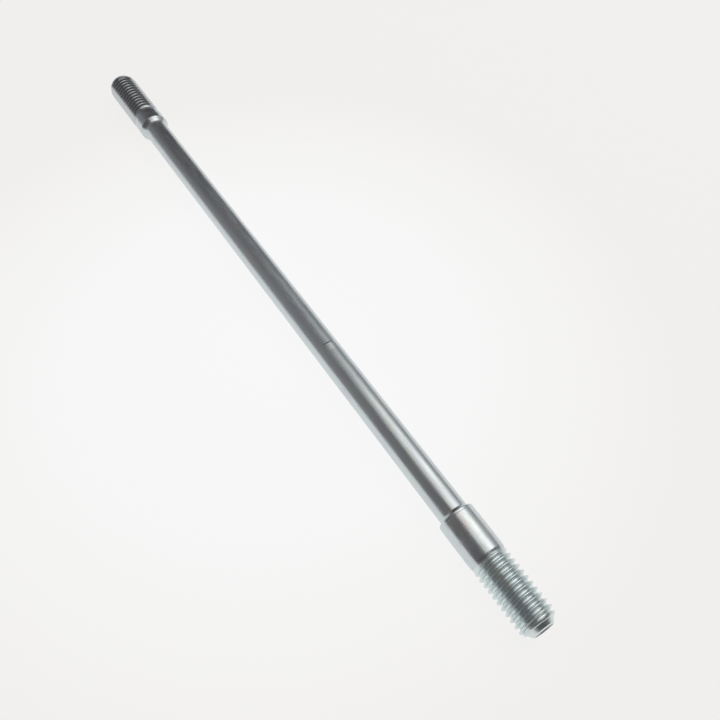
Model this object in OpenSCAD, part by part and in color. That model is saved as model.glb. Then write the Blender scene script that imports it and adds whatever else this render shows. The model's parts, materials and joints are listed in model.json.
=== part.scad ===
// Cylinder stud: one turned steel rod with a rolled metric thread at each end.
// A plain land of the thread's full diameter stands behind each thread, and the
// shank between the lands is necked down so that it stretches before they do.
// The stud lies along X on the plane z = 0, with its tap end towards +X.

/* [Overall] */
// Length from point to point
stud_length = 187; // [150:1:240]

/* [Threads] */
// Diameter over the crests of both threads, and of both lands (M8, which allows 7.76 to 7.97)
thread_d = 7.8; // [7.6:0.1:10]
// Distance from one thread crest to the next (M8 coarse)
thread_pitch = 1.25; // [1:0.05:1.5]
// Length in which the rolled thread fades out in front of its shoulder
thread_fade = 1.2; // [0.8:0.1:2.4]

/* [Tap end] */
// Length of the tap end from its point to the rim of its land
tap_end_length = 16.3; // [12:0.1:24]
// Length of the plain full-diameter land
tap_land_length = 9.3; // [4:0.1:20]
// Length of the bevel between the thread and the land
tap_bevel_length = 0.9; // [0.4:0.1:1.2]
// Length of the taper between the land and the shank
tap_taper_length = 1.2; // [0.4:0.05:2]
// Length of the chamfered point
tap_point_length = 2.1; // [0.8:0.1:2.4]
// Diameter of the flat face on the chamfered point
tap_face_d = 4.4; // [4:0.1:5.6]

/* [Nut end] */
// Length of the nut end from its point to the rim of its land
nut_end_length = 19.3; // [14:0.1:28]
// Length of the plain full-diameter land
nut_land_length = 4.1; // [3:0.1:12]
// Length of the bevel between the thread and the land
nut_bevel_length = 1; // [0.4:0.1:1.4]
// Length of the taper between the land and the shank
nut_taper_length = 1.2; // [0.4:0.05:2]
// Length of the rounded point
nut_point_length = 2.7; // [1.4:0.1:3.2]
// Diameter of the flat face on the rounded point
nut_face_d = 4.8; // [3:0.1:5.2]

/* [Shank] */
// Diameter of the necked shank
shank_d = 6.2; // [5.5:0.1:6.9]

/* [Hidden] */
$fn = 96;

// Flat facets round one turn of a thread
thread_sides = 24;

thread_r = thread_d / 2;
shank_r = shank_d / 2;

// Metric basic profile: 60 degree flanks, an eighth of the pitch flat on the crest and a
// quarter of it flat in the root
thread_depth = 0.5413 * thread_pitch;
root_r = thread_r - thread_depth;
crest_flat = thread_pitch / 8;
flank_length = thread_depth * tan(30);
root_flat = thread_pitch - crest_flat - 2 * flank_length;

// Rolling starts from a blank of the pitch diameter, which shows at the bevel's foot
blank_r = thread_r - 0.3248 * thread_pitch;

// The thread's facets end in a core that sinks into the turned body inside the bevel's foot
root_overlap = 0.5;
core_r = blank_r - 0.05;

// One pitch of the thread, from root to root: [distance along the axis, radius]
thread_profile = [
    [0, root_r],
    [root_flat, root_r],
    [root_flat + flank_length, thread_r],
    [root_flat + flank_length + crest_flat, thread_r]
];

// Largest radius at z on a point that runs from a flat face out to the full thread
function point_limit(z, point_length, face_r, rounded) =
    let (t = min(z / point_length, 1))
    face_r + (thread_r - face_r) * (rounded ? sqrt(1 - pow(1 - t, 2)) : t);

// Share of the full thread depth at a distance from the bevel's foot
function fade_share(distance) = max(0, min(distance / thread_fade, 1));

// Radius of the thread at z, where the unworn profile has profile_r
function rolled_radius(z, profile_r, length, point_length, face_r, rounded) = min(
    core_r + (profile_r - core_r) * fade_share(length - root_overlap - z),
    point_limit(z, point_length, face_r, rounded)
);

// A right-hand rolled thread from its point at z = 0 to the bevel's foot at z = length.
// Its rows climb one pitch in each turn, so a row ends where the row of the next turn
// starts. Rows below the point or past the foot are flattened into the end rings.
module rolled_thread(length, point_length, face_r, rounded) {
    per_turn = len(thread_profile);
    rows = per_turn * (ceil(length / thread_pitch) + 2) + 1;

    function row_z(row, side) =
        (floor(row / per_turn) - 1 + side / thread_sides) * thread_pitch
        + thread_profile[row % per_turn][0];

    points = [
        for (row = [0 : rows - 1], side = [0 : thread_sides - 1])
            let (
                z = max(0, min(length, row_z(row, side))),
                r = rolled_radius(z, thread_profile[row % per_turn][1],
                                  length, point_length, face_r, rounded),
                angle = 360 * side / thread_sides
            )
            [r * cos(angle), r * sin(angle), z]
    ];

    function index(row, side) = side < thread_sides
        ? row * thread_sides + side
        : min(row + per_turn, rows - 1) * thread_sides;

    walls = [
        for (row = [0 : rows - 2], side = [0 : thread_sides - 1])
            let (
                a = index(row, side),
                b = index(row, side + 1),
                c = index(row + 1, side + 1),
                d = index(row + 1, side)
            )
            for (face = [[a, d, c], [a, c, b]])
                let (p = points[face[0]], q = points[face[1]], s = points[face[2]])
                if (p != q && q != s && s != p) face
    ];
    point_face = [for (side = [0 : thread_sides - 1]) index(0, side)];
    foot_face = [for (side = [thread_sides - 1 : -1 : 0]) index(rows - 1, side)];

    polyhedron(points = points, faces = concat(walls, [point_face, foot_face]),
               convexity = 10);
}

// The turned body between the two threads, along Z from the nut end's bevel
module turned_body() {
    nut_rim = nut_end_length;
    nut_neck = nut_rim + nut_land_length;
    tap_rim = stud_length - tap_end_length;
    tap_neck = tap_rim - tap_land_length;

    rotate_extrude()
        polygon([
            [0, nut_rim - nut_bevel_length],
            [blank_r, nut_rim - nut_bevel_length],
            [thread_r, nut_rim],
            [thread_r, nut_neck],
            [shank_r, nut_neck + nut_taper_length],
            [shank_r, tap_neck - tap_taper_length],
            [thread_r, tap_neck],
            [thread_r, tap_rim],
            [blank_r, tap_rim + tap_bevel_length],
            [0, tap_rim + tap_bevel_length]
        ]);
}

// The whole stud, one piece of zinc-plated steel
module stud() {
    color("silver")
        translate([-stud_length / 2, 0, thread_r])
            rotate([0, 90, 0]) {
                rolled_thread(nut_end_length - nut_bevel_length + root_overlap, nut_point_length,
                              nut_face_d / 2, rounded = true);
                turned_body();
                translate([0, 0, stud_length])
                    rotate([180, 0, 0])
                        rolled_thread(tap_end_length - tap_bevel_length + root_overlap, tap_point_length,
                                      tap_face_d / 2, rounded = false);
            }
}

stud();
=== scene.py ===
"""A zinc-plated cylinder stud on a plain light table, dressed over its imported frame.

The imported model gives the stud's place and its fitting sizes. This script replaces its
plain solid with one finely modelled piece: rolled threads that fade out on their blanks,
turned lands with broken edges and a drawn shank with one knock in it, all under bright
zinc plating.
"""

import functools
import json
import logging
import math
from collections.abc import Sequence
from dataclasses import dataclass
from enum import Enum

import bmesh
import bpy
from mathutils import Matrix, Vector


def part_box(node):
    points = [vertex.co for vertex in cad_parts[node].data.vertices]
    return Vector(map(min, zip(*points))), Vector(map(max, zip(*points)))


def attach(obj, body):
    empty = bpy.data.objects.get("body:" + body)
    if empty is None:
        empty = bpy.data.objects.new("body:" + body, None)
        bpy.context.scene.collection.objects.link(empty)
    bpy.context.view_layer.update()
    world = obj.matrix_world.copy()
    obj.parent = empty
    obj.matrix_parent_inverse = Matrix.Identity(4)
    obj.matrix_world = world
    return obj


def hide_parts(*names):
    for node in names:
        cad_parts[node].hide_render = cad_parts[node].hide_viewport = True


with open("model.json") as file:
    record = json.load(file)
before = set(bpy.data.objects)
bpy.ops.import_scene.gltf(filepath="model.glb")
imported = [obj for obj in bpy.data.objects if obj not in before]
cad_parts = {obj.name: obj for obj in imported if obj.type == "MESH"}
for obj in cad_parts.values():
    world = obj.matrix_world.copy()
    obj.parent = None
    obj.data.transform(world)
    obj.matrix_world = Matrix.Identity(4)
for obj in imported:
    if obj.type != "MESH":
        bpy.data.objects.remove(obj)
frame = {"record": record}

log = logging.getLogger("cylinder_stud")

MM = 0.001
NODE = "stud"
BODY = "root"

# A thread's mesh stops this far short of its bevel, and a narrow band of faces joins them.
SEAM = 0.05 * MM
# One full thread turn, and every round part of the stud, has this many faces round it.
SIDES = 96
# Vertices nearer to each other than this are one vertex.
MERGE = 0.001 * MM
# Vertices nearer to a cut than this are on it.
ON_CUT = 0.0001 * MM
# A thread's flanks lean this far from square to the axis.
FLANK_LEAN = math.radians(30)
# Smooth noise stays mostly within this range, which a finish spreads over its own.
NOISE_RANGE = {"From Min": 0.3, "From Max": 0.7}
# Watts that one square metre of an area lamp needs for a radiance of 1.
LAMP_POWER = 4.0


def linear_colour(hex_code: str) -> tuple[float, float, float, float]:
    """Turns an sRGB hex colour into the linear values that Blender's sockets take.

    Args:
        hex_code: The colour as six hex digits.

    Returns:
        Linear red, green and blue with an alpha of 1.
    """
    channels = [int(hex_code[i:i + 2], 16) / 255 for i in (0, 2, 4)]
    linear = [c / 12.92 if c <= 0.04045 else ((c + 0.055) / 1.055) ** 2.4 for c in channels]
    return (*linear, 1.0)


def empty_tree(owner: bpy.types.Material | bpy.types.World) -> bpy.types.NodeTree:
    """Switches the nodes of a material or a world on and clears them.

    Args:
        owner: The material or the world.

    Returns:
        Its node tree, with nothing in it.
    """
    owner.use_nodes = True
    owner.node_tree.nodes.clear()
    return owner.node_tree


def add_node(tree: bpy.types.NodeTree, kind: str, settings: dict | None = None,
             inputs: dict | None = None) -> bpy.types.Node:
    """Adds one node to a tree, with its settings and what feeds its sockets.

    Args:
        tree: The node tree that gets the node.
        kind: The node's Blender type, such as ShaderNodeTexNoise.
        settings: Attributes to set on the node.
        inputs: Socket names or numbers, each with a value or with an output socket to link.

    Returns:
        The new node.
    """
    node = tree.nodes.new(kind)
    for name, value in (settings or {}).items():
        setattr(node, name, value)
    for key, value in (inputs or {}).items():
        if isinstance(value, bpy.types.NodeSocket):
            tree.links.new(value, node.inputs[key])
        else:
            node.inputs[key].default_value = value
    return node


def add_ramp(tree: bpy.types.NodeTree, share: bpy.types.NodeSocket,
             colours: tuple[str, ...]) -> bpy.types.NodeSocket:
    """Adds a smooth run of evenly spaced colours.

    Args:
        tree: The node tree that gets the ramp.
        share: How far along the run to be, from 0 to 1.
        colours: The colours as sRGB hex codes, in order.

    Returns:
        The socket that gives the colour.
    """
    ramp = add_node(tree, "ShaderNodeValToRGB", inputs={"Fac": share})
    stops = ramp.color_ramp.elements
    while len(stops) < len(colours):
        stops.new(0.5)
    for number, (stop, colour) in enumerate(zip(stops, colours)):
        stop.position = number / (len(colours) - 1)
        stop.color = linear_colour(colour)
    return ramp.outputs["Color"]


def add_object(name: str, data: bpy.types.ID) -> bpy.types.Object:
    """Puts a mesh, a light or a camera into the scene as an object at the origin.

    Args:
        name: The object's name.
        data: The mesh, light or camera.

    Returns:
        The object.
    """
    made = bpy.data.objects.new(name, data)
    bpy.context.scene.collection.objects.link(made)
    return made


def add_mesh_object(name: str, bm: bmesh.types.BMesh,
                    materials: Sequence[bpy.types.Material]) -> bpy.types.Object:
    """Puts a finished shape into the scene and frees it.

    Args:
        name: The object's name.
        bm: The shape, with its place in it.
        materials: The materials that its faces number.

    Returns:
        The object.
    """
    mesh = bpy.data.meshes.new(name)
    bm.to_mesh(mesh)
    bm.free()
    for material in materials:
        mesh.materials.append(material)
    return add_object(name, mesh)


def add_part(bm: bmesh.types.BMesh, part: bmesh.types.BMesh, matrix: Matrix) -> None:
    """Adds one part's shape to a whole and frees it.

    Args:
        bm: The whole.
        part: The part's own shape.
        matrix: Where the part goes.
    """
    mesh = bpy.data.meshes.new("part")
    part.transform(matrix)
    part.to_mesh(mesh)
    part.free()
    bm.from_mesh(mesh)
    bpy.data.meshes.remove(mesh)


def bridge_gap(bm: bmesh.types.BMesh, z: float) -> None:
    """Closes the narrow gap between a thread and its bevel.

    Args:
        bm: The whole mesh, with its axis along Z.
        z: Where the gap is along the axis.
    """
    rings = [edge for edge in bm.edges if edge.is_boundary
             and abs(edge.verts[0].co.z - z) < 2 * SEAM]
    bmesh.ops.bridge_loops(bm, edges=rings)


@dataclass(frozen=True)
class Corner:
    """A corner of a turned section: its place along the axis, its radius and its rounding."""

    z: float
    r: float
    rounding: float = 0.0


def round_corners(corners: Sequence[Corner], arc_steps: int = 5, guard: float = 0.12 * MM,
                  guard_share: float = 0.4) -> list[Vector]:
    """Rounds a section's corners and stands a point beside each arc to keep the flats flat.

    Args:
        corners: The section's corners in order. The first and the last stay sharp.
        arc_steps: Segments in each rounded corner.
        guard: How far beyond an arc its extra point stands, where there is room for it.
        guard_share: The most that this may be of the flat between two arcs.

    Returns:
        The section's points in the XZ plane.
    """
    places = [Vector((corner.r, 0, corner.z)) for corner in corners]
    halves = [math.pi / 2] + [(before - here).angle(after - here) / 2 for before, here, after
                              in zip(places, places[1:], places[2:])] + [math.pi / 2]
    reaches = [corner.rounding / math.tan(half) for corner, half in zip(corners, halves)]
    guards = [min(guard, guard_share * ((after - here).length - reach - next_reach))
              for here, after, reach, next_reach
              in zip(places, places[1:], reaches, reaches[1:])]
    points = [places[0], places[0] + (places[1] - places[0]).normalized() * guards[0]]
    for i in range(1, len(corners) - 1):
        here, rounding = places[i], corners[i].rounding
        back = (places[i - 1] - here).normalized()
        ahead = (places[i + 1] - here).normalized()
        centre = here + (back + ahead).normalized() * rounding / math.sin(halves[i])
        start, stop = here + back * reaches[i] - centre, here + ahead * reaches[i] - centre
        points.append(centre + start + back * guards[i - 1])
        points += [centre + start.slerp(stop, step / arc_steps) * rounding
                   for step in range(arc_steps + 1)]
        points.append(centre + stop + ahead * guards[i])
    points += [places[-1] + (places[-2] - places[-1]).normalized() * guards[-1], places[-1]]
    return points


def cut_across(bm: bmesh.types.BMesh, z: float, **sides: bool) -> None:
    """Cuts a mesh across its axis.

    Args:
        bm: The mesh, with its axis along Z.
        z: Where to cut.
        sides: Which side to clear, as clear_inner for the lower one or clear_outer.
    """
    bmesh.ops.bisect_plane(bm, geom=bm.verts[:] + bm.edges[:] + bm.faces[:],
                           dist=ON_CUT, plane_co=(0, 0, z), plane_no=(0, 0, 1), **sides)


def set_radius(vert: bmesh.types.BMVert, radius: float) -> None:
    """Moves a vertex straight away from the Z axis, or towards it, to a radius.

    Args:
        vert: The vertex, which isn't on the axis.
        radius: How far from the axis it goes.
    """
    scale = radius / math.hypot(*vert.co.xy)
    vert.co.x *= scale
    vert.co.y *= scale


def interpolate(points: Sequence[tuple[float, float]], z: float) -> float:
    """Reads a radius off an outline between its points.

    Args:
        points: Pairs of a place along the axis and a radius, in order.
        z: The place to read.

    Returns:
        The radius there. Beyond the last pair it stays the same.
    """
    for (low_z, low_r), (high_z, high_r) in zip(points, points[1:]):
        if low_z < high_z and z <= high_z:
            return low_r + (high_r - low_r) * (z - low_z) / (high_z - low_z)
    return points[-1][1]


@dataclass(frozen=True)
class Tip:
    """The turned form of a tip, from a shallow dish in its face to the full thread.

    Its sizes are in metres. The dish's side slopes in over dish_side, and the points on the
    outside stand a step apart or more.
    """

    corners: tuple[Corner, ...]
    dish_r: float
    dish_depth: float
    dish_side: float = 0.1 * MM
    step: float = 0.01 * MM

    @functools.cache
    def outline(self) -> list[tuple[float, float]]:
        """Lists points on the tip's outside as pairs of a distance from the tip and a radius."""
        points = round_corners(self.corners, guard=self.step)
        return [(point.z, point.x) for point in points]

    def limit(self, z: float) -> float:
        """Gives the largest radius that the tip's form leaves at a distance from the tip.

        Args:
            z: Distance from the tip along the axis.

        Returns:
            The radius of the tip's outside there.
        """
        return interpolate(self.outline(), z)

    def rings(self, start: float) -> list[tuple[float, float]]:
        """Lists the rings that close a tip, from its side into the dish in its face.

        Args:
            start: The distance from the tip at which the first ring lies.

        Returns:
            Pairs of a distance from the tip and a radius.
        """
        side = [(z, r) for z, r in reversed(self.outline()) if z < start - self.step]
        dish = [(0.0, self.dish_r), (self.dish_depth, self.dish_r - self.dish_side),
                (self.dish_depth, self.dish_r - 2 * self.dish_side)]
        return [(start, self.limit(start))] + side + dish


@dataclass(frozen=True)
class ThreadProfile:
    """The section of a rolled metric thread, in metres.

    The flanks stand at 60 degrees to each other, and the points at flank_shares keep them
    straight. The dies leave a flat root with round corners and a narrow crest with soft edges.
    """

    major_r: float
    pitch: float = 1.25 * MM
    root_share: float = 0.28
    crest_share: float = 0.13
    root_corner_r: float = 0.15 * MM
    crest_edge_r: float = 0.04 * MM
    flank_shares: tuple[float, ...] = (0.1, 0.5, 0.9)

    @property
    def depth(self) -> float:
        """Height of the thread from its root to its crest."""
        flank = self.pitch * (1 - self.root_share - self.crest_share) / 2
        return flank / math.tan(FLANK_LEAN)

    def stations(self, arc_steps: int = 3) -> list[tuple[float, float]]:
        """Works out the section over one pitch, from the middle of one root to the next.

        Args:
            arc_steps: Segments in each rounded corner.

        Returns:
            Pairs of a distance along the axis and a radius. The last pair of the pitch is
            left out, because the next pitch starts with it.
        """
        root_r = self.major_r - self.depth
        root_z = self.pitch * self.root_share / 2
        crest_z = self.pitch * (1 - self.crest_share) / 2
        reach = math.tan(FLANK_LEAN)
        half = [(0.0, root_r)]
        for step in range(arc_steps + 1):
            turn = 2 * FLANK_LEAN * step / arc_steps
            half.append((root_z - self.root_corner_r * (reach - math.sin(turn)),
                         root_r + self.root_corner_r * (1 - math.cos(turn))))
        foot_z, foot_r = half[-1]
        top_z = crest_z - self.crest_edge_r * (math.sin(2 * FLANK_LEAN) - reach)
        top_r = self.major_r - self.crest_edge_r * (1 - math.cos(2 * FLANK_LEAN))
        half += [(foot_z + (top_z - foot_z) * share, foot_r + (top_r - foot_r) * share)
                 for share in self.flank_shares]
        for step in range(arc_steps + 1):
            turn = 2 * FLANK_LEAN * (1 - step / arc_steps)
            half.append((crest_z + self.crest_edge_r * (reach - math.sin(turn)),
                         self.major_r - self.crest_edge_r * (1 - math.cos(turn))))
        mirrored = [(self.pitch - z, r) for z, r in reversed(half[1:])]
        return half + mirrored


@dataclass(frozen=True)
class ThreadedEnd:
    """One end of the stud, from its tip to its neck, in metres.

    Its own frame has the tip at the origin and the stud running along +Z. The run-out gives
    the crests' radius at distances from the bevel's foot. The mesh has extra rings at
    lip_shares of the rise, and beside each bend of the run-out.
    """

    profile: ThreadProfile
    tip: Tip
    thread_length: float
    rim: float
    land_length: float
    taper_length: float
    start_angle: float
    run_out: tuple[tuple[float, float], ...]
    bevel_length: float
    rim_draw: float
    neck_edge_r: float
    neck_root_r: float
    groove_start: float
    groove_rise: float = 0.2 * MM
    groove_fade: float = 0.9 * MM
    line_inset: float = 0.0
    lip_shares: tuple[float, ...] = (0.25, 0.5, 1.0)
    bend_guard: float = 0.02 * MM

    def rolled_radius(self, z: float, full_r: float) -> float:
        """Fades the thread out in front of its bevel and trims it to the tip's form.

        The grooves start behind the point's own lip and run out in front of the bevel, where
        the crests keep to the run-out's form.

        Args:
            z: Distance from the tip along the axis.
            full_r: The radius that the whole thread would have there.

        Returns:
            The radius of the finished surface.
        """
        distance = max(self.thread_length - SEAM - z, 0.0)
        major_r = self.profile.major_r
        start = max(0.0, min((z - self.groove_start) / self.groove_rise, 1.0))
        groove = (major_r - full_r) * min(distance / self.groove_fade, 1.0, start)
        crest_r = interpolate(self.run_out, distance)
        return min(major_r - groove, crest_r, self.tip.limit(z))

    def build(self) -> bmesh.types.BMesh:
        """Models the thread as one section spun up its helix, then trims both its ends.

        The helix starts a turn before the tip and ends past the bevel's foot.

        Returns:
            A mesh in the end's own frame, closed at the tip and open at the bevel's foot.
        """
        bm = bmesh.new()
        pitch = self.profile.pitch
        turns = math.ceil(self.thread_length / pitch) + 2
        rail = [bm.verts.new((r, 0, (turn - 1) * pitch + z))
                for turn in range(turns) for z, r in self.profile.stations()]
        edges = [bm.edges.new(pair) for pair in zip(rail, rail[1:])]
        bmesh.ops.spin(bm, geom=rail + edges, cent=(0, 0, 0), axis=(0, 0, 1),
                       dvec=(0, 0, pitch / SIDES), angle=math.tau, steps=SIDES,
                       use_merge=False, use_duplicate=False)
        bmesh.ops.remove_doubles(bm, verts=bm.verts, dist=MERGE)

        stop = self.thread_length - SEAM
        cut_across(bm, self.groove_start, clear_inner=True)
        cut_across(bm, stop, clear_outer=True)
        lip = [self.groove_start + self.groove_rise * share for share in self.lip_shares]
        bends = [stop - distance + side for distance, _ in self.run_out[1:3]
                 for side in (-self.bend_guard, self.bend_guard)]
        for place in (*lip, self.tip.corners[-1].z, stop - self.groove_fade, *bends):
            cut_across(bm, place)
        for vert in bm.verts:
            set_radius(vert, self.rolled_radius(vert.co.z, math.hypot(*vert.co.xy)))
        self.close_tip(bm)
        bmesh.ops.rotate(bm, verts=bm.verts, cent=(0, 0, 0),
                         matrix=Matrix.Rotation(self.start_angle, 3, "Z"))
        return bm

    def close_tip(self, bm: bmesh.types.BMesh) -> None:
        """Rolls the tip's edge over and closes it with a flat face.

        Args:
            bm: The end's mesh, open at the tip.
        """
        rings = self.tip.rings(self.groove_start)
        rim = [edge for edge in bm.edges if edge.is_boundary
               and all(vert.co.z < self.groove_start + MERGE for vert in edge.verts)]
        for z, radius in rings[1:]:
            grown = bmesh.ops.extrude_edge_only(bm, edges=rim)["geom"]
            verts = [item for item in grown if isinstance(item, bmesh.types.BMVert)]
            rim = [item for item in grown if isinstance(item, bmesh.types.BMEdge)]
            for vert in verts:
                set_radius(vert, radius)
                vert.co.z = z
        bmesh.ops.contextual_create(bm, geom=rim)


@dataclass(frozen=True)
class Knock:
    """A knock on the shank: a sharp low step that slopes away towards the tap end.

    It fades out smoothly round the shank within its reach. Its place is in the turned body's
    frame, and its sizes are in metres.
    """

    place: Vector
    rise: float = 0.34 * MM
    length: float = 1.8 * MM
    reach: float = 2.7 * MM
    height: float = 0.06 * MM
    bend_guard: float = 0.03 * MM

    def shape(self, bm: bmesh.types.BMesh) -> None:
        """Raises the knock on a turned shank.

        Args:
            bm: The shank's mesh, with its axis along Z.
        """
        for bend in (-self.rise, 0.0, self.length):
            for side in (-self.bend_guard, 0.0, self.bend_guard):
                cut_across(bm, self.place.z + bend + side)
        outline = ((-self.rise, 0.0), (0.0, self.height), (self.length, 0.0))
        for vert in bm.verts:
            offset = vert.co - self.place
            if not -self.rise < offset.z < self.length:
                continue
            near = max(0.0, 1 - math.hypot(*offset.xy) / self.reach)
            lift = interpolate(outline, offset.z) * near * near * (3 - 2 * near)
            set_radius(vert, math.hypot(*vert.co.xy) + lift)


@dataclass(frozen=True)
class TurnedBody:
    """The body between the two threads: two bevels, two lands, two tapers and the shank.

    Each land is drawn in a little towards its rim, over rim_draw_length. A fine line is
    turned round a land where its end gives the line's distance from the neck. The body's own
    frame has the nut end's tip at the origin and the stud along +Z. Sizes are in metres.
    """

    nut: ThreadedEnd
    tap: ThreadedEnd
    length: float
    shank_r: float
    knock: Knock
    rim_draw_length: float = 1.4 * MM
    rim_draw_r: float = 4.8 * MM
    rim_edge_r: float = 0.6 * MM
    line_width: float = 0.1 * MM
    line_depth: float = 0.02 * MM
    line_edge_r: float = 0.05 * MM
    line_root_r: float = 0.1 * MM

    def corners(self) -> list[Corner]:
        """Lists the section's corners from the nut end's bevel to the tap end's bevel.

        Returns:
            The corners in order along the axis.
        """
        half = []
        for end in (self.nut, self.tap):
            neck = end.rim + end.land_length
            major_r = end.profile.major_r
            line = neck - end.line_inset
            half.append([
                Corner(end.thread_length, end.run_out[0][1]),
                Corner(end.thread_length + end.bevel_length, major_r - end.rim_draw,
                       self.rim_edge_r),
                Corner(end.rim + self.rim_draw_length, major_r, self.rim_draw_r),
            ])
            if end.line_inset:
                half[-1] += [Corner(line - self.line_width, major_r, self.line_edge_r),
                             Corner(line, major_r - self.line_depth, self.line_root_r),
                             Corner(line + self.line_width, major_r, self.line_edge_r)]
            half[-1] += [Corner(neck, major_r, end.neck_edge_r),
                         Corner(neck + end.taper_length, self.shank_r, end.neck_root_r)]
        nut_half, tap_half = half
        return nut_half + [Corner(self.length - c.z, c.r, c.rounding) for c in reversed(tap_half)]

    def build(self) -> bmesh.types.BMesh:
        """Spins the section round the axis.

        Returns:
            A mesh in the body's own frame, open at both ends.
        """
        bm = bmesh.new()
        rail = [bm.verts.new(point) for point in round_corners(self.corners())]
        edges = [bm.edges.new(pair) for pair in zip(rail, rail[1:])]
        bmesh.ops.spin(bm, geom=rail + edges, cent=(0, 0, 0), axis=(0, 0, 1),
                       dvec=(0, 0, 0), angle=math.tau, steps=SIDES, use_merge=True,
                       use_duplicate=False)
        self.knock.shape(bm)
        return bm


@dataclass(frozen=True)
class Grain:
    """One pattern on a finish, in millimetres: its size along and across, and its relief."""

    along: float
    across: float
    depth: float = 0.0
    detail: float = 2.0

    def build(self, tree: bpy.types.NodeTree,
              place: bpy.types.NodeSocket) -> bpy.types.NodeSocket:
        """Makes the pattern as smooth noise.

        Args:
            tree: The material's node tree.
            place: Where the surface is, in the stud's own frame with its axis along X.

        Returns:
            The socket that gives the pattern, which stays mostly within NOISE_RANGE.
        """
        scaled = add_node(tree, "ShaderNodeMapping", inputs={
            "Vector": place,
            "Scale": (1 / (self.along * MM), 1 / (self.across * MM), 1 / (self.across * MM))})
        noise = add_node(tree, "ShaderNodeTexNoise", inputs={
            "Vector": scaled.outputs["Vector"], "Scale": 1.0, "Detail": self.detail})
        return noise.outputs["Fac"]


@dataclass(frozen=True)
class PlatedFinish:
    """Bright zinc plating over one kind of worked steel surface.

    Its clear passivation gives it faint tints that drift along the stud, its dull patches
    are a little rougher, and the steel's own working marks show through as relief.
    """

    name: str
    reliefs: tuple[Grain, ...]
    tints: tuple[str, ...] = ("CCCFD6", "CDD5D9", "CDD7D6", "D2D3D3")
    tint_grain: Grain = Grain(6.0, 2.2)
    roughness: float = 0.25
    roughness_spread: float = 0.12
    roughness_grain: Grain = Grain(1.6, 0.8, detail=3.0)

    def build(self) -> bpy.types.Material:
        """Makes the finish as a material.

        Returns:
            The material, ready to be put on a mesh.
        """
        material = bpy.data.materials.new(self.name)
        tree = empty_tree(material)
        place = add_node(tree, "ShaderNodeTexCoord").outputs["Object"]

        drift = add_node(tree, "ShaderNodeMapRange", inputs=NOISE_RANGE | {
            "Value": self.tint_grain.build(tree, place)})
        tint = add_ramp(tree, drift.outputs["Result"], self.tints)
        patches = add_node(tree, "ShaderNodeMapRange", inputs=NOISE_RANGE | {
            "Value": self.roughness_grain.build(tree, place),
            "To Min": self.roughness - self.roughness_spread / 2,
            "To Max": self.roughness + self.roughness_spread / 2})
        shader = add_node(tree, "ShaderNodeBsdfPrincipled", inputs={
            "Base Color": tint, "Metallic": 1.0, "Roughness": patches.outputs["Result"],
            "Normal": self.relief(tree, place)})
        add_node(tree, "ShaderNodeOutputMaterial", inputs={"Surface": shader.outputs["BSDF"]})
        return material

    def relief(self, tree: bpy.types.NodeTree,
               place: bpy.types.NodeSocket) -> bpy.types.NodeSocket:
        """Stacks the finish's working marks as bumps.

        Args:
            tree: The material's node tree.
            place: Where the surface is, in the stud's own frame.

        Returns:
            The socket that gives the bumped normal.
        """
        inputs: dict = {}
        for grain in self.reliefs:
            bump = add_node(tree, "ShaderNodeBump", inputs=inputs | {
                "Height": grain.build(tree, place), "Strength": 1.0,
                "Distance": grain.depth * MM})
            inputs = {"Normal": bump.outputs["Normal"]}
        return inputs["Normal"]


class Surface(Enum):
    """The kinds of worked surface on the stud, in the order of their materials."""

    NUT_THREAD = 0
    TAP_THREAD = 1
    LAND = 2
    SHANK = 3
    CUT_FACE = 4


@dataclass(frozen=True)
class Stud:
    """The whole stud, one closed mesh that lies along X with its tap end towards +X."""

    body: TurnedBody
    finishes: dict[Surface, PlatedFinish]
    name: str = "plated_stud"
    face_depth: float = 0.2 * MM

    def surface_at(self, place: Vector) -> Surface:
        """Names the kind of surface at a place in the turned body's frame.

        Args:
            place: A point on the surface.

        Returns:
            The kind of surface there.
        """
        body = self.body
        radius = math.hypot(*place.xy)
        for end, thread, reach in ((body.nut, Surface.NUT_THREAD, place.z),
                                   (body.tap, Surface.TAP_THREAD, body.length - place.z)):
            if reach < self.face_depth and radius < end.tip.corners[1].r:
                return Surface.CUT_FACE
            if reach < end.thread_length:
                return thread
            if reach < end.rim + end.land_length + end.taper_length:
                return Surface.LAND
        return Surface.SHANK

    def build(self) -> bpy.types.Object:
        """Models the stud, lays it on the plane z = 0 and gives it its finishes.

        Returns:
            The finished object, at the origin with its place in its mesh.
        """
        body = self.body
        bm = bmesh.new()
        add_part(bm, body.nut.build(), Matrix())
        add_part(bm, body.build(), Matrix())
        turned = Matrix.Translation((0, 0, body.length)) @ Matrix.Rotation(math.pi, 4, "Y")
        add_part(bm, body.tap.build(), turned)
        bridge_gap(bm, body.nut.thread_length)
        bridge_gap(bm, body.length - body.tap.thread_length)
        for face in bm.faces:
            face.smooth = True
            face.material_index = self.surface_at(face.calc_center_median()).value
        bmesh.ops.recalc_face_normals(bm, faces=bm.faces)
        bm.transform(Matrix.Translation((-body.length / 2, 0, body.nut.profile.major_r))
                     @ Matrix.Rotation(math.pi / 2, 4, "Y"))
        stud = add_mesh_object(self.name, bm, [self.finishes[kind].build() for kind in Surface])
        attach(stud, BODY)
        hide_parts(NODE)
        return stud


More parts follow.
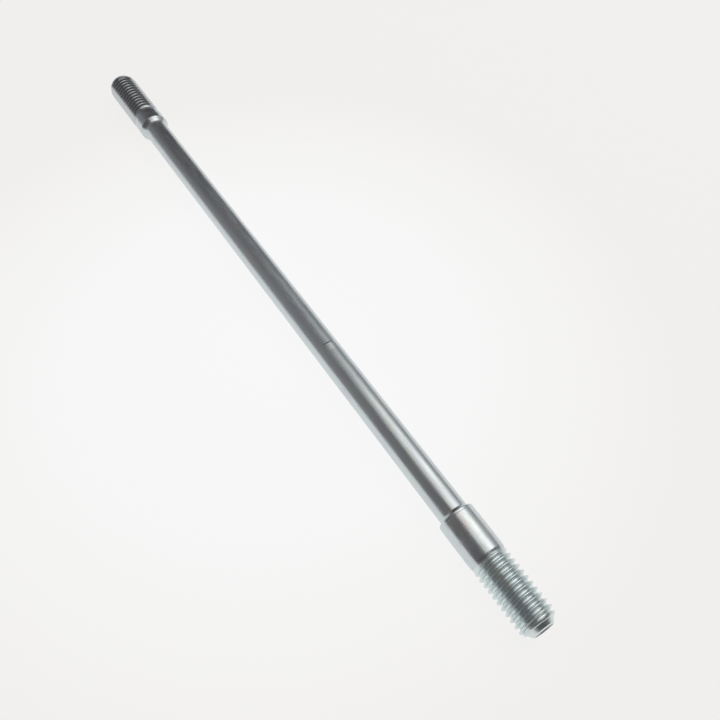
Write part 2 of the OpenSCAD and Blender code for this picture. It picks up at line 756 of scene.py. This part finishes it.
@dataclass(frozen=True)
class Floor:
    """The plain pale table that the stud lies on, a little darker and warmer outwards.

    Its sizes are in metres, and its colours run outwards from its centre over its reach: a
    painted pool of light, brightest at the centre and falling off outwards.
    """

    size: float = 8.0
    centre: tuple[float, float, float] = (10 * MM, -10 * MM, 0.0)
    reach: float = 140 * MM
    colours: tuple[str, ...] = ("FFFFFF", "FEFEFE", "F7F6F4", "F7F6F5")
    shadow_share: float = 0.1

    def build(self) -> bpy.types.Object:
        """Lays the floor at z = 0.

        Returns:
            The floor.
        """
        bm = bmesh.new()
        bmesh.ops.create_grid(bm, x_segments=1, y_segments=1, size=self.size / 2)
        floor = add_mesh_object("floor", bm, [self.finish()])
        return floor

    def finish(self) -> bpy.types.Material:
        """Makes a pale matt surface that looks evenly lit and still takes a faint shadow.

        Returns:
            The floor's material.
        """
        material = bpy.data.materials.new("pale_floor")
        tree = empty_tree(material)
        rays = add_node(tree, "ShaderNodeLightPath")
        seen = add_node(tree, "ShaderNodeMath", {"operation": "MAXIMUM"}, {
            0: rays.outputs["Is Camera Ray"], 1: rays.outputs["Is Glossy Ray"]})
        seen = add_node(tree, "ShaderNodeMath", {"operation": "MAXIMUM"}, {
            0: seen.outputs[0], 1: rays.outputs["Is Transmission Ray"]})
        share = add_node(tree, "ShaderNodeMath", {"operation": "MULTIPLY"}, {
            0: seen.outputs[0], 1: 1 - self.shadow_share})
        place = add_node(tree, "ShaderNodeTexCoord")
        apart = add_node(tree, "ShaderNodeVectorMath", {"operation": "DISTANCE"}, {
            0: place.outputs["Object"], 1: self.centre})
        outward = add_node(tree, "ShaderNodeMapRange", inputs={
            "Value": apart.outputs["Value"], "From Max": self.reach})
        # Painted light: the colours darken and warm outwards from the centre, standing in for the
        # table's light falling off towards its edges.
        colour = add_ramp(tree, outward.outputs["Result"], self.colours)
        matt = add_node(tree, "ShaderNodeBsdfDiffuse", inputs={"Color": colour})
        glow = add_node(tree, "ShaderNodeEmission", inputs={
            "Color": colour, "Strength": 1.0})
        mixed = add_node(tree, "ShaderNodeMixShader", inputs={
            0: share.outputs[0], 1: matt.outputs[0], 2: glow.outputs[0]})
        add_node(tree, "ShaderNodeOutputMaterial", inputs={"Surface": mixed.outputs[0]})
        return material


@dataclass(frozen=True)
class Softbox:
    """A flat rectangular light that faces the table, in metres, with its turn in degrees."""

    name: str
    centre: tuple[float, float, float]
    size: tuple[float, float]
    radiance: float
    turn: float = 0.0

    def build(self, colour: tuple[float, float, float]) -> None:
        """Hangs the light, with the power that gives its face the wanted radiance.

        Args:
            colour: Linear red, green and blue of the light.
        """
        lamp = bpy.data.lights.new(self.name, "AREA")
        lamp.color = colour
        lamp.shape = "RECTANGLE"
        lamp.size, lamp.size_y = self.size
        lamp.energy = LAMP_POWER * self.size[0] * self.size[1] * self.radiance
        softbox = add_object(self.name, lamp)
        softbox.location = self.centre
        softbox.rotation_euler.z = math.radians(self.turn)


@dataclass(frozen=True)
class Wall:
    """What the room looks like in the directions that have one share of +X in them.

    Its colours run in even steps from level on the -Y side, over the top, to level on the
    +Y side.
    """

    heading: float
    colours: tuple[str, ...]

    def build(self, tree: bpy.types.NodeTree,
              turn: bpy.types.NodeSocket) -> bpy.types.NodeSocket:
        """Makes the wall's colours as a smooth ramp.

        Args:
            tree: The room's node tree.
            turn: How far round from the -Y side to the +Y side a direction is, from 0 to 1.

        Returns:
            The socket that gives the wall's colour.
        """
        return add_ramp(tree, turn, self.colours)


@dataclass(frozen=True)
class Studio:
    """One large soft light over the table in a dim room.

    The light is brightest in its middle and weakest on its far side, so a few softboxes
    make it up. The room is darkest above and beyond the stud's nut end.
    """

    softboxes: tuple[Softbox, ...] = (
        Softbox("softbox_skirt", (-0.17, 1.25, 0.61), (0.70, 1.90), 0.20),
        Softbox("softbox_edge", (-0.06, 0.41, 0.60), (0.48, 0.90), 0.60, turn=12.0),
        Softbox("softbox_front", (0.01, -0.08, 0.60), (0.34, 0.08), 0.60),
        Softbox("softbox_middle", (-0.03, 0.34, 0.59), (0.44, 0.46), 0.33),
    )
    light_colour: str = "FFFBF7"
    backdrop: str = "F4F4F4"
    walls: tuple[Wall, ...] = (
        Wall(0.7, ("565456", "525052", "525052", "525052", "565456", "666466")),
        Wall(-0.19, ("757172", "6B6868", "6E6B6C", "7A7778", "84848A", "A4A6AA")),
        Wall(-0.50, ("9A989A", "918E90", "7E7D7F", "838284", "8D8F93", "9C9EA0")),
        Wall(-0.62, ("989698", "928F92", "838083", "827F82", "7E7D81", "868689")),
        Wall(-0.76, ("929397", "838083", "5C595C", "524E52", "4A474B", "5C595E")),
    )

    def build(self) -> None:
        """Hangs the light and sets up the room."""
        for softbox in self.softboxes:
            softbox.build(linear_colour(self.light_colour)[:3])
        self.build_room()

    def build_room(self) -> None:
        """Gives the room its own dim light, and the picture its plain backdrop."""
        world = bpy.data.worlds.new("room")
        bpy.context.scene.world = world
        tree = empty_tree(world)
        rays = add_node(tree, "ShaderNodeLightPath")
        heading = add_node(tree, "ShaderNodeTexCoord")
        parts = add_node(tree, "ShaderNodeSeparateXYZ", inputs={
            "Vector": heading.outputs["Generated"]})
        angle = add_node(tree, "ShaderNodeMath", {"operation": "ARCTAN2"}, {
            0: parts.outputs["Y"], 1: parts.outputs["Z"]})
        turn = add_node(tree, "ShaderNodeMapRange", inputs={
            "Value": angle.outputs[0], "From Min": -math.pi / 2, "From Max": math.pi / 2})
        colour = self.walls[0].build(tree, turn.outputs["Result"])
        for before, wall in zip(self.walls, self.walls[1:]):
            share = add_node(tree, "ShaderNodeMapRange", inputs={
                "Value": parts.outputs["X"], "From Min": before.heading,
                "From Max": wall.heading})
            blend = add_node(tree, "ShaderNodeMix", {"data_type": "RGBA"}, {
                0: share.outputs["Result"], 6: colour,
                7: wall.build(tree, turn.outputs["Result"])})
            colour = blend.outputs[2]
        room = add_node(tree, "ShaderNodeBackground", inputs={"Color": colour})
        backdrop = add_node(tree, "ShaderNodeBackground", inputs={
            "Color": linear_colour(self.backdrop)})
        mixed = add_node(tree, "ShaderNodeMixShader", inputs={
            0: rays.outputs["Is Camera Ray"], 1: room.outputs[0], 2: backdrop.outputs[0]})
        add_node(tree, "ShaderNodeOutputWorld", inputs={"Surface": mixed.outputs[0]})


@dataclass(frozen=True)
class ShotCamera:
    """The camera that looks down along the stud from beyond its tap end.

    Its places are in metres, its angles in degrees, and its lens and sensor in millimetres.
    """

    aim: tuple[float, float, float] = (27.25 * MM, 4.7 * MM, 3.9 * MM)
    azimuth: float = 56.58
    elevation: float = 55.76
    distance: float = 162.81 * MM
    lens: float = 36.9
    sensor_width: float = 36.0

    def build(self) -> bpy.types.Object:
        """Sets up the camera.

        Returns:
            The scene's camera.
        """
        turn, lift = math.radians(self.azimuth), math.radians(self.elevation)
        back = Vector((math.sin(turn) * math.cos(lift), -math.cos(turn) * math.cos(lift),
                       math.sin(lift)))
        data = bpy.data.cameras.new("shot")
        data.lens = self.lens
        data.sensor_width = self.sensor_width
        data.clip_start = 1 * MM
        camera = add_object("shot", data)
        camera.location = Vector(self.aim) + back * self.distance
        camera.rotation_mode = "QUATERNION"
        camera.rotation_quaternion = (-back).to_track_quat("-Z", "Y")
        bpy.context.scene.camera = camera
        return camera


def nut_end(full_r: float, thread_length: float, rim: float,
            land_length: float) -> ThreadedEnd:
    """Describes the rounded end, whose thread has wide round roots and shallow grooves.

    Args:
        full_r: Radius of the crests and the land.
        thread_length: Distance from the tip to the bevel's foot.
        rim: Distance from the tip to the land's rim.
        land_length: Length of the land.

    Returns:
        The nut end.
    """
    tip = Tip((Corner(0, 1.8 * MM),
               Corner(0, 2.87 * MM, 0.95 * MM),
               Corner(1.3 * MM, full_r, 3.2 * MM),
               Corner(2.8 * MM, full_r)),
              dish_r=1.7 * MM, dish_depth=0.1 * MM)
    profile = ThreadProfile(full_r, root_share=0.35, crest_share=0.16, root_corner_r=0.37 * MM)
    return ThreadedEnd(
        profile, tip, thread_length, rim, land_length, taper_length=1.15 * MM,
        start_angle=math.radians(-138),
        run_out=((0, 3.5 * MM), (0.25 * MM, 3.5 * MM), (0.85 * MM, 3.82 * MM),
                 (1.2 * MM, full_r)),
        bevel_length=1.0 * MM, rim_draw=0.02 * MM, neck_edge_r=0.3 * MM, neck_root_r=2.0 * MM,
        groove_start=0.4 * MM, groove_fade=0.6 * MM)


def tap_end(full_r: float, thread_length: float, rim: float,
            land_length: float) -> ThreadedEnd:
    """Describes the chamfered end, whose chamfer has a low step and whose land a fine line.

    Args:
        full_r: Radius of the crests and the land.
        thread_length: Distance from the tip to the bevel's foot.
        rim: Distance from the tip to the land's rim.
        land_length: Length of the land.

    Returns:
        The tap end.
    """
    tip = Tip((Corner(0.06 * MM, 1.3 * MM),
               Corner(0.06 * MM, 2.05 * MM, 0.08 * MM),
               Corner(0.26 * MM, 2.4 * MM, 0.12 * MM),
               Corner(1.12 * MM, 2.99 * MM, 0.1 * MM),
               Corner(1.21 * MM, 3.4 * MM, 0.05 * MM),
               Corner(1.78 * MM, 3.79 * MM, 0.05 * MM),
               Corner(1.9 * MM, 3.87 * MM, 0.03 * MM),
               Corner(2.1 * MM, full_r)),
              dish_r=1.2 * MM, dish_depth=0.15 * MM)
    return ThreadedEnd(
        ThreadProfile(full_r), tip, thread_length, rim, land_length, taper_length=0.42 * MM,
        start_angle=math.radians(-168),
        run_out=((0, 3.67 * MM), (0.2 * MM, 3.61 * MM), (0.28 * MM, 3.79 * MM),
                 (0.7 * MM, 3.83 * MM), (2.4 * MM, full_r)),
        bevel_length=0.62 * MM, rim_draw=0.07 * MM, neck_edge_r=0.25 * MM,
        neck_root_r=0.5 * MM, groove_start=1.3 * MM, line_inset=0.55 * MM)


def plated_finishes() -> dict[Surface, PlatedFinish]:
    """Describes the zinc's finish on each kind of surface.

    Returns:
        The finishes by their kinds of surface.
    """
    return {
        # Zinc over a smooth rolled thread: thin clean arcs of light on dark steel.
        Surface.NUT_THREAD: PlatedFinish(
            "zinc_on_nut_thread", (Grain(3.0, 1.5, 0.002, detail=0.0),),
            tints=("C6CCD1", "CAD0D1", "CBD1CE"), roughness=0.2, roughness_spread=0.06),
        # Zinc over a slightly rougher rolled thread: bright flanks with a soft, uneven sheen. Its
        # tints are lighter than the rest of the plating, which is painted light that brightens
        # the near thread.
        Surface.TAP_THREAD: PlatedFinish(
            "zinc_on_tap_thread_painted_bright", (Grain(1.5, 0.6, 0.003), Grain(0.5, 0.5, 0.001)),
            # These lighter tints are painted light, not a different zinc.
            tints=("DAE2E5", "DCE8E9", "DFE7E3"), roughness=0.33),
        # Zinc over fine turning marks: a bright band with wavering edges and faint rings,
        # which are drawn coarser than real ones so that they show.
        Surface.LAND: PlatedFinish(
            "zinc_on_turned_land", (Grain(2.4, 1.6, 0.015), Grain(0.35, 12.0, 0.001)),
            roughness=0.25, roughness_spread=0.14),
        # Zinc over drawn bar: a band of light with long soft streaks along the shank, which
        # are drawn coarser than real die marks so that they show.
        Surface.SHANK: PlatedFinish(
            "zinc_on_drawn_shank", (Grain(14.0, 1.4, 0.015, detail=0.0),
                                    Grain(9.0, 0.5, 0.001, detail=0.0)),
            roughness=0.29, roughness_grain=Grain(5.0, 0.9, detail=2.0)),
        # Zinc over a rough cropped face: a dull, darker grey disc at each tip.
        Surface.CUT_FACE: PlatedFinish(
            "zinc_on_cut_face", (Grain(0.3, 0.3, 0.01),), tints=("8C8F90", "989C9C"),
            roughness=0.5),
    }


def stud_from_frame(record: dict) -> Stud:
    """Works out the stud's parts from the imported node's box and the record's mounts.

    Args:
        record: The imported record.

    Returns:
        The stud, ready to be built.
    """
    low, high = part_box(NODE)
    full_r, length = (high.z - low.z) / 2, high.x - low.x
    mounts = {mount["name"]: mount for mount in record["mounts"]}

    def reach(name: str) -> float:
        """Gives how long a mount is, in metres."""
        return mounts[name]["dims"]["length_mm"] * MM

    def inset(name: str) -> float:
        """Gives how far a mount's place is from the nearer end of the stud."""
        return length / 2 - abs(mounts[name]["pos_m"][0])

    nut = nut_end(full_r, reach("nut_thread"), inset("nut_land"), reach("nut_land"))
    tap = tap_end(full_r, reach("tap_thread"), inset("tap_land"), reach("tap_land"))
    knock = Knock(Vector((-3.07 * MM, 0.4 * MM, length / 2 + 21.4 * MM)))
    body = TurnedBody(nut, tap, length, shank_r=3.1 * MM, knock=knock)
    return Stud(body, plated_finishes())


def main() -> None:
    """Builds the stud and its studio, and writes how big the dressed stud is."""
    logging.basicConfig(level=logging.INFO, format="%(name)s: %(message)s")
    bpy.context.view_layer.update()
    stud = stud_from_frame(frame["record"]).build()
    log.info("%s: %d faces", stud.name, len(stud.data.polygons))
    for part in (Floor(), Studio(), ShotCamera()):
        part.build()
        log.info("%s is set", type(part).__name__)
    bpy.context.scene.view_settings.view_transform = "Standard"


if __name__ == "__main__":
    main()
